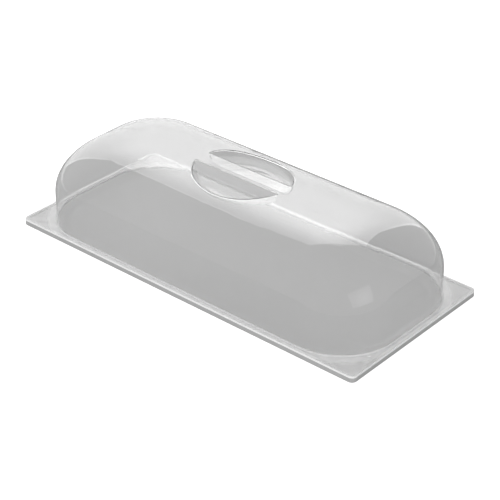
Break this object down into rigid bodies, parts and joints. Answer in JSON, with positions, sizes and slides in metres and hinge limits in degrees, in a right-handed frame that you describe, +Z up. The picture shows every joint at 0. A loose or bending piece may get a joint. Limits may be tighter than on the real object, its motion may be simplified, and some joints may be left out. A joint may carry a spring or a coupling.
{
  "type": "domed seed tray cover and base tray",
  "caption": "Long clear domed cover with a recessed finger grip in its roof and a flat flange, standing on a shallow rectangular base tray.",
  "frame": {"origin": "centre of the base tray's underside, on the surface that the object stands on", "axes": "+X along the length, +Y across the width, +Z up through the dome's roof"},
  "size_m": [0.53, 0.2416, 0.12],
  "materials": {
    "clear_plastic": "clear polished",
    "grey_plastic": "smooth pale grey"
  },
  "bodies": {
    "tray": {"base_tray": "grey_plastic"},
    "cover": {"dome_cover": "clear_plastic"}
  },
  "joints": [
    {"name": "cover_lift", "type": "slide", "parent": "tray", "child": "cover", "axis": [0, 0, 1], "range_m": [0, 0.15]}
  ]
}
